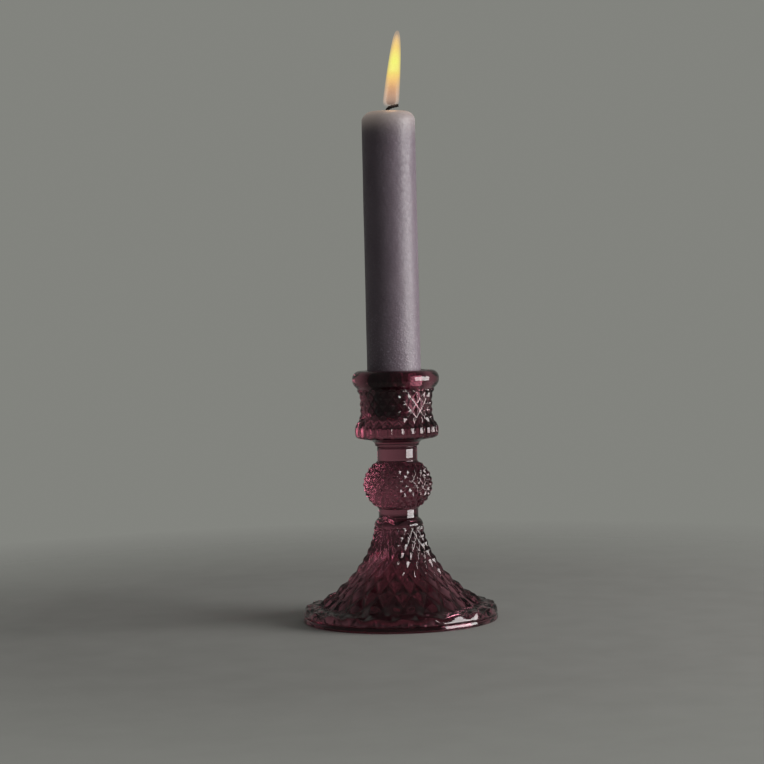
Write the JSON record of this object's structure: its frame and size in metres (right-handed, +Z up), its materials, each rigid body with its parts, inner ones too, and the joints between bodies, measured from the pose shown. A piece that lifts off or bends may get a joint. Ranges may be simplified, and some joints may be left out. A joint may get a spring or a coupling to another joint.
{
  "type": "glass candlestick",
  "caption": "Pressed-glass candlestick with a flared foot, ball stem and diamond-point relief, holding a lit dinner candle that lifts out of its socket.",
  "frame": {"origin": "centre of the ring that the foot stands on", "axes": "+Z up along the candle, away from the foot; -Y is the side seen from the front, +X the side that the wick bends to"},
  "size_m": [0.082, 0.082, 0.2469],
  "materials": {
    "plum_glass": "pressed, glossy, with diamond-point relief",
    "mauve_wax": "rustic wax, matte with a fine frosty bloom",
    "charred_wick": "braided cotton, charred black at its end",
    "flame": "luminous gas"
  },
  "bodies": {
    "holder": {"glass_holder": "plum_glass"},
    "candle": {"candle": "mauve_wax", "wick": "charred_wick", "flame": "flame"}
  },
  "joints": [
    {"name": "candle_lift", "type": "slide", "parent": "holder", "child": "candle", "axis": [0, 0, 1], "range_m": [0, 0.035]}
  ]
}
